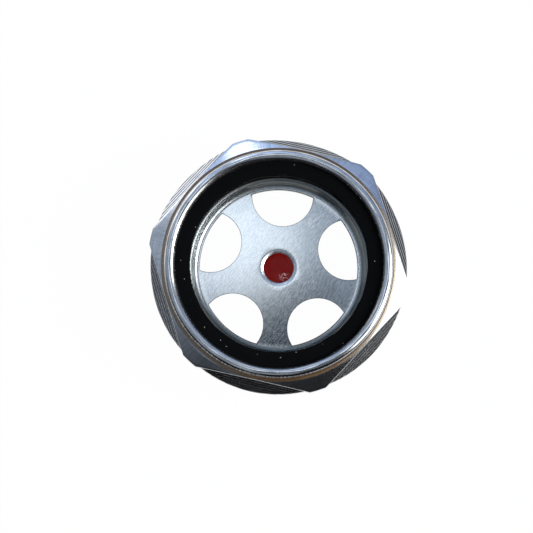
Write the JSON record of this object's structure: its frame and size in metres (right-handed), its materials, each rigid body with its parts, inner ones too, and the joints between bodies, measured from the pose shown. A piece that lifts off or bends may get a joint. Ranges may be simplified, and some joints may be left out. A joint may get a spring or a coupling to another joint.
{
  "type": "tank level gauge",
  "caption": "Screw-in oil sight glass for a tank wall: hexagon body with rolled rim, round window, pierced reflector with a red centre mark and a threaded shank.",
  "frame": {"origin": "centre of the shank's open end, at the lowest point of the part", "axes": "+Z along the thread's axis, out of the window; two corners of the hexagon lie on X, two flats face Y"},
  "size_m": [0.0558, 0.0548, 0.0195],
  "materials": {
    "zinc_plated_steel": "bright zinc plate, turned and milled, with light handling marks",
    "brushed_aluminium": "brushed sheet",
    "clear_glass": "clear, polished",
    "black_rubber": "matt",
    "red_enamel": "glossy enamel"
  },
  "bodies": {
    "root": {"body": "zinc_plated_steel", "tank_seal_ring": "black_rubber", "reflector": "brushed_aluminium", "red_mark": "red_enamel", "rear_gasket": "black_rubber", "window_glass": "clear_glass", "front_gasket": "black_rubber"}
  },
  "joints": []
}
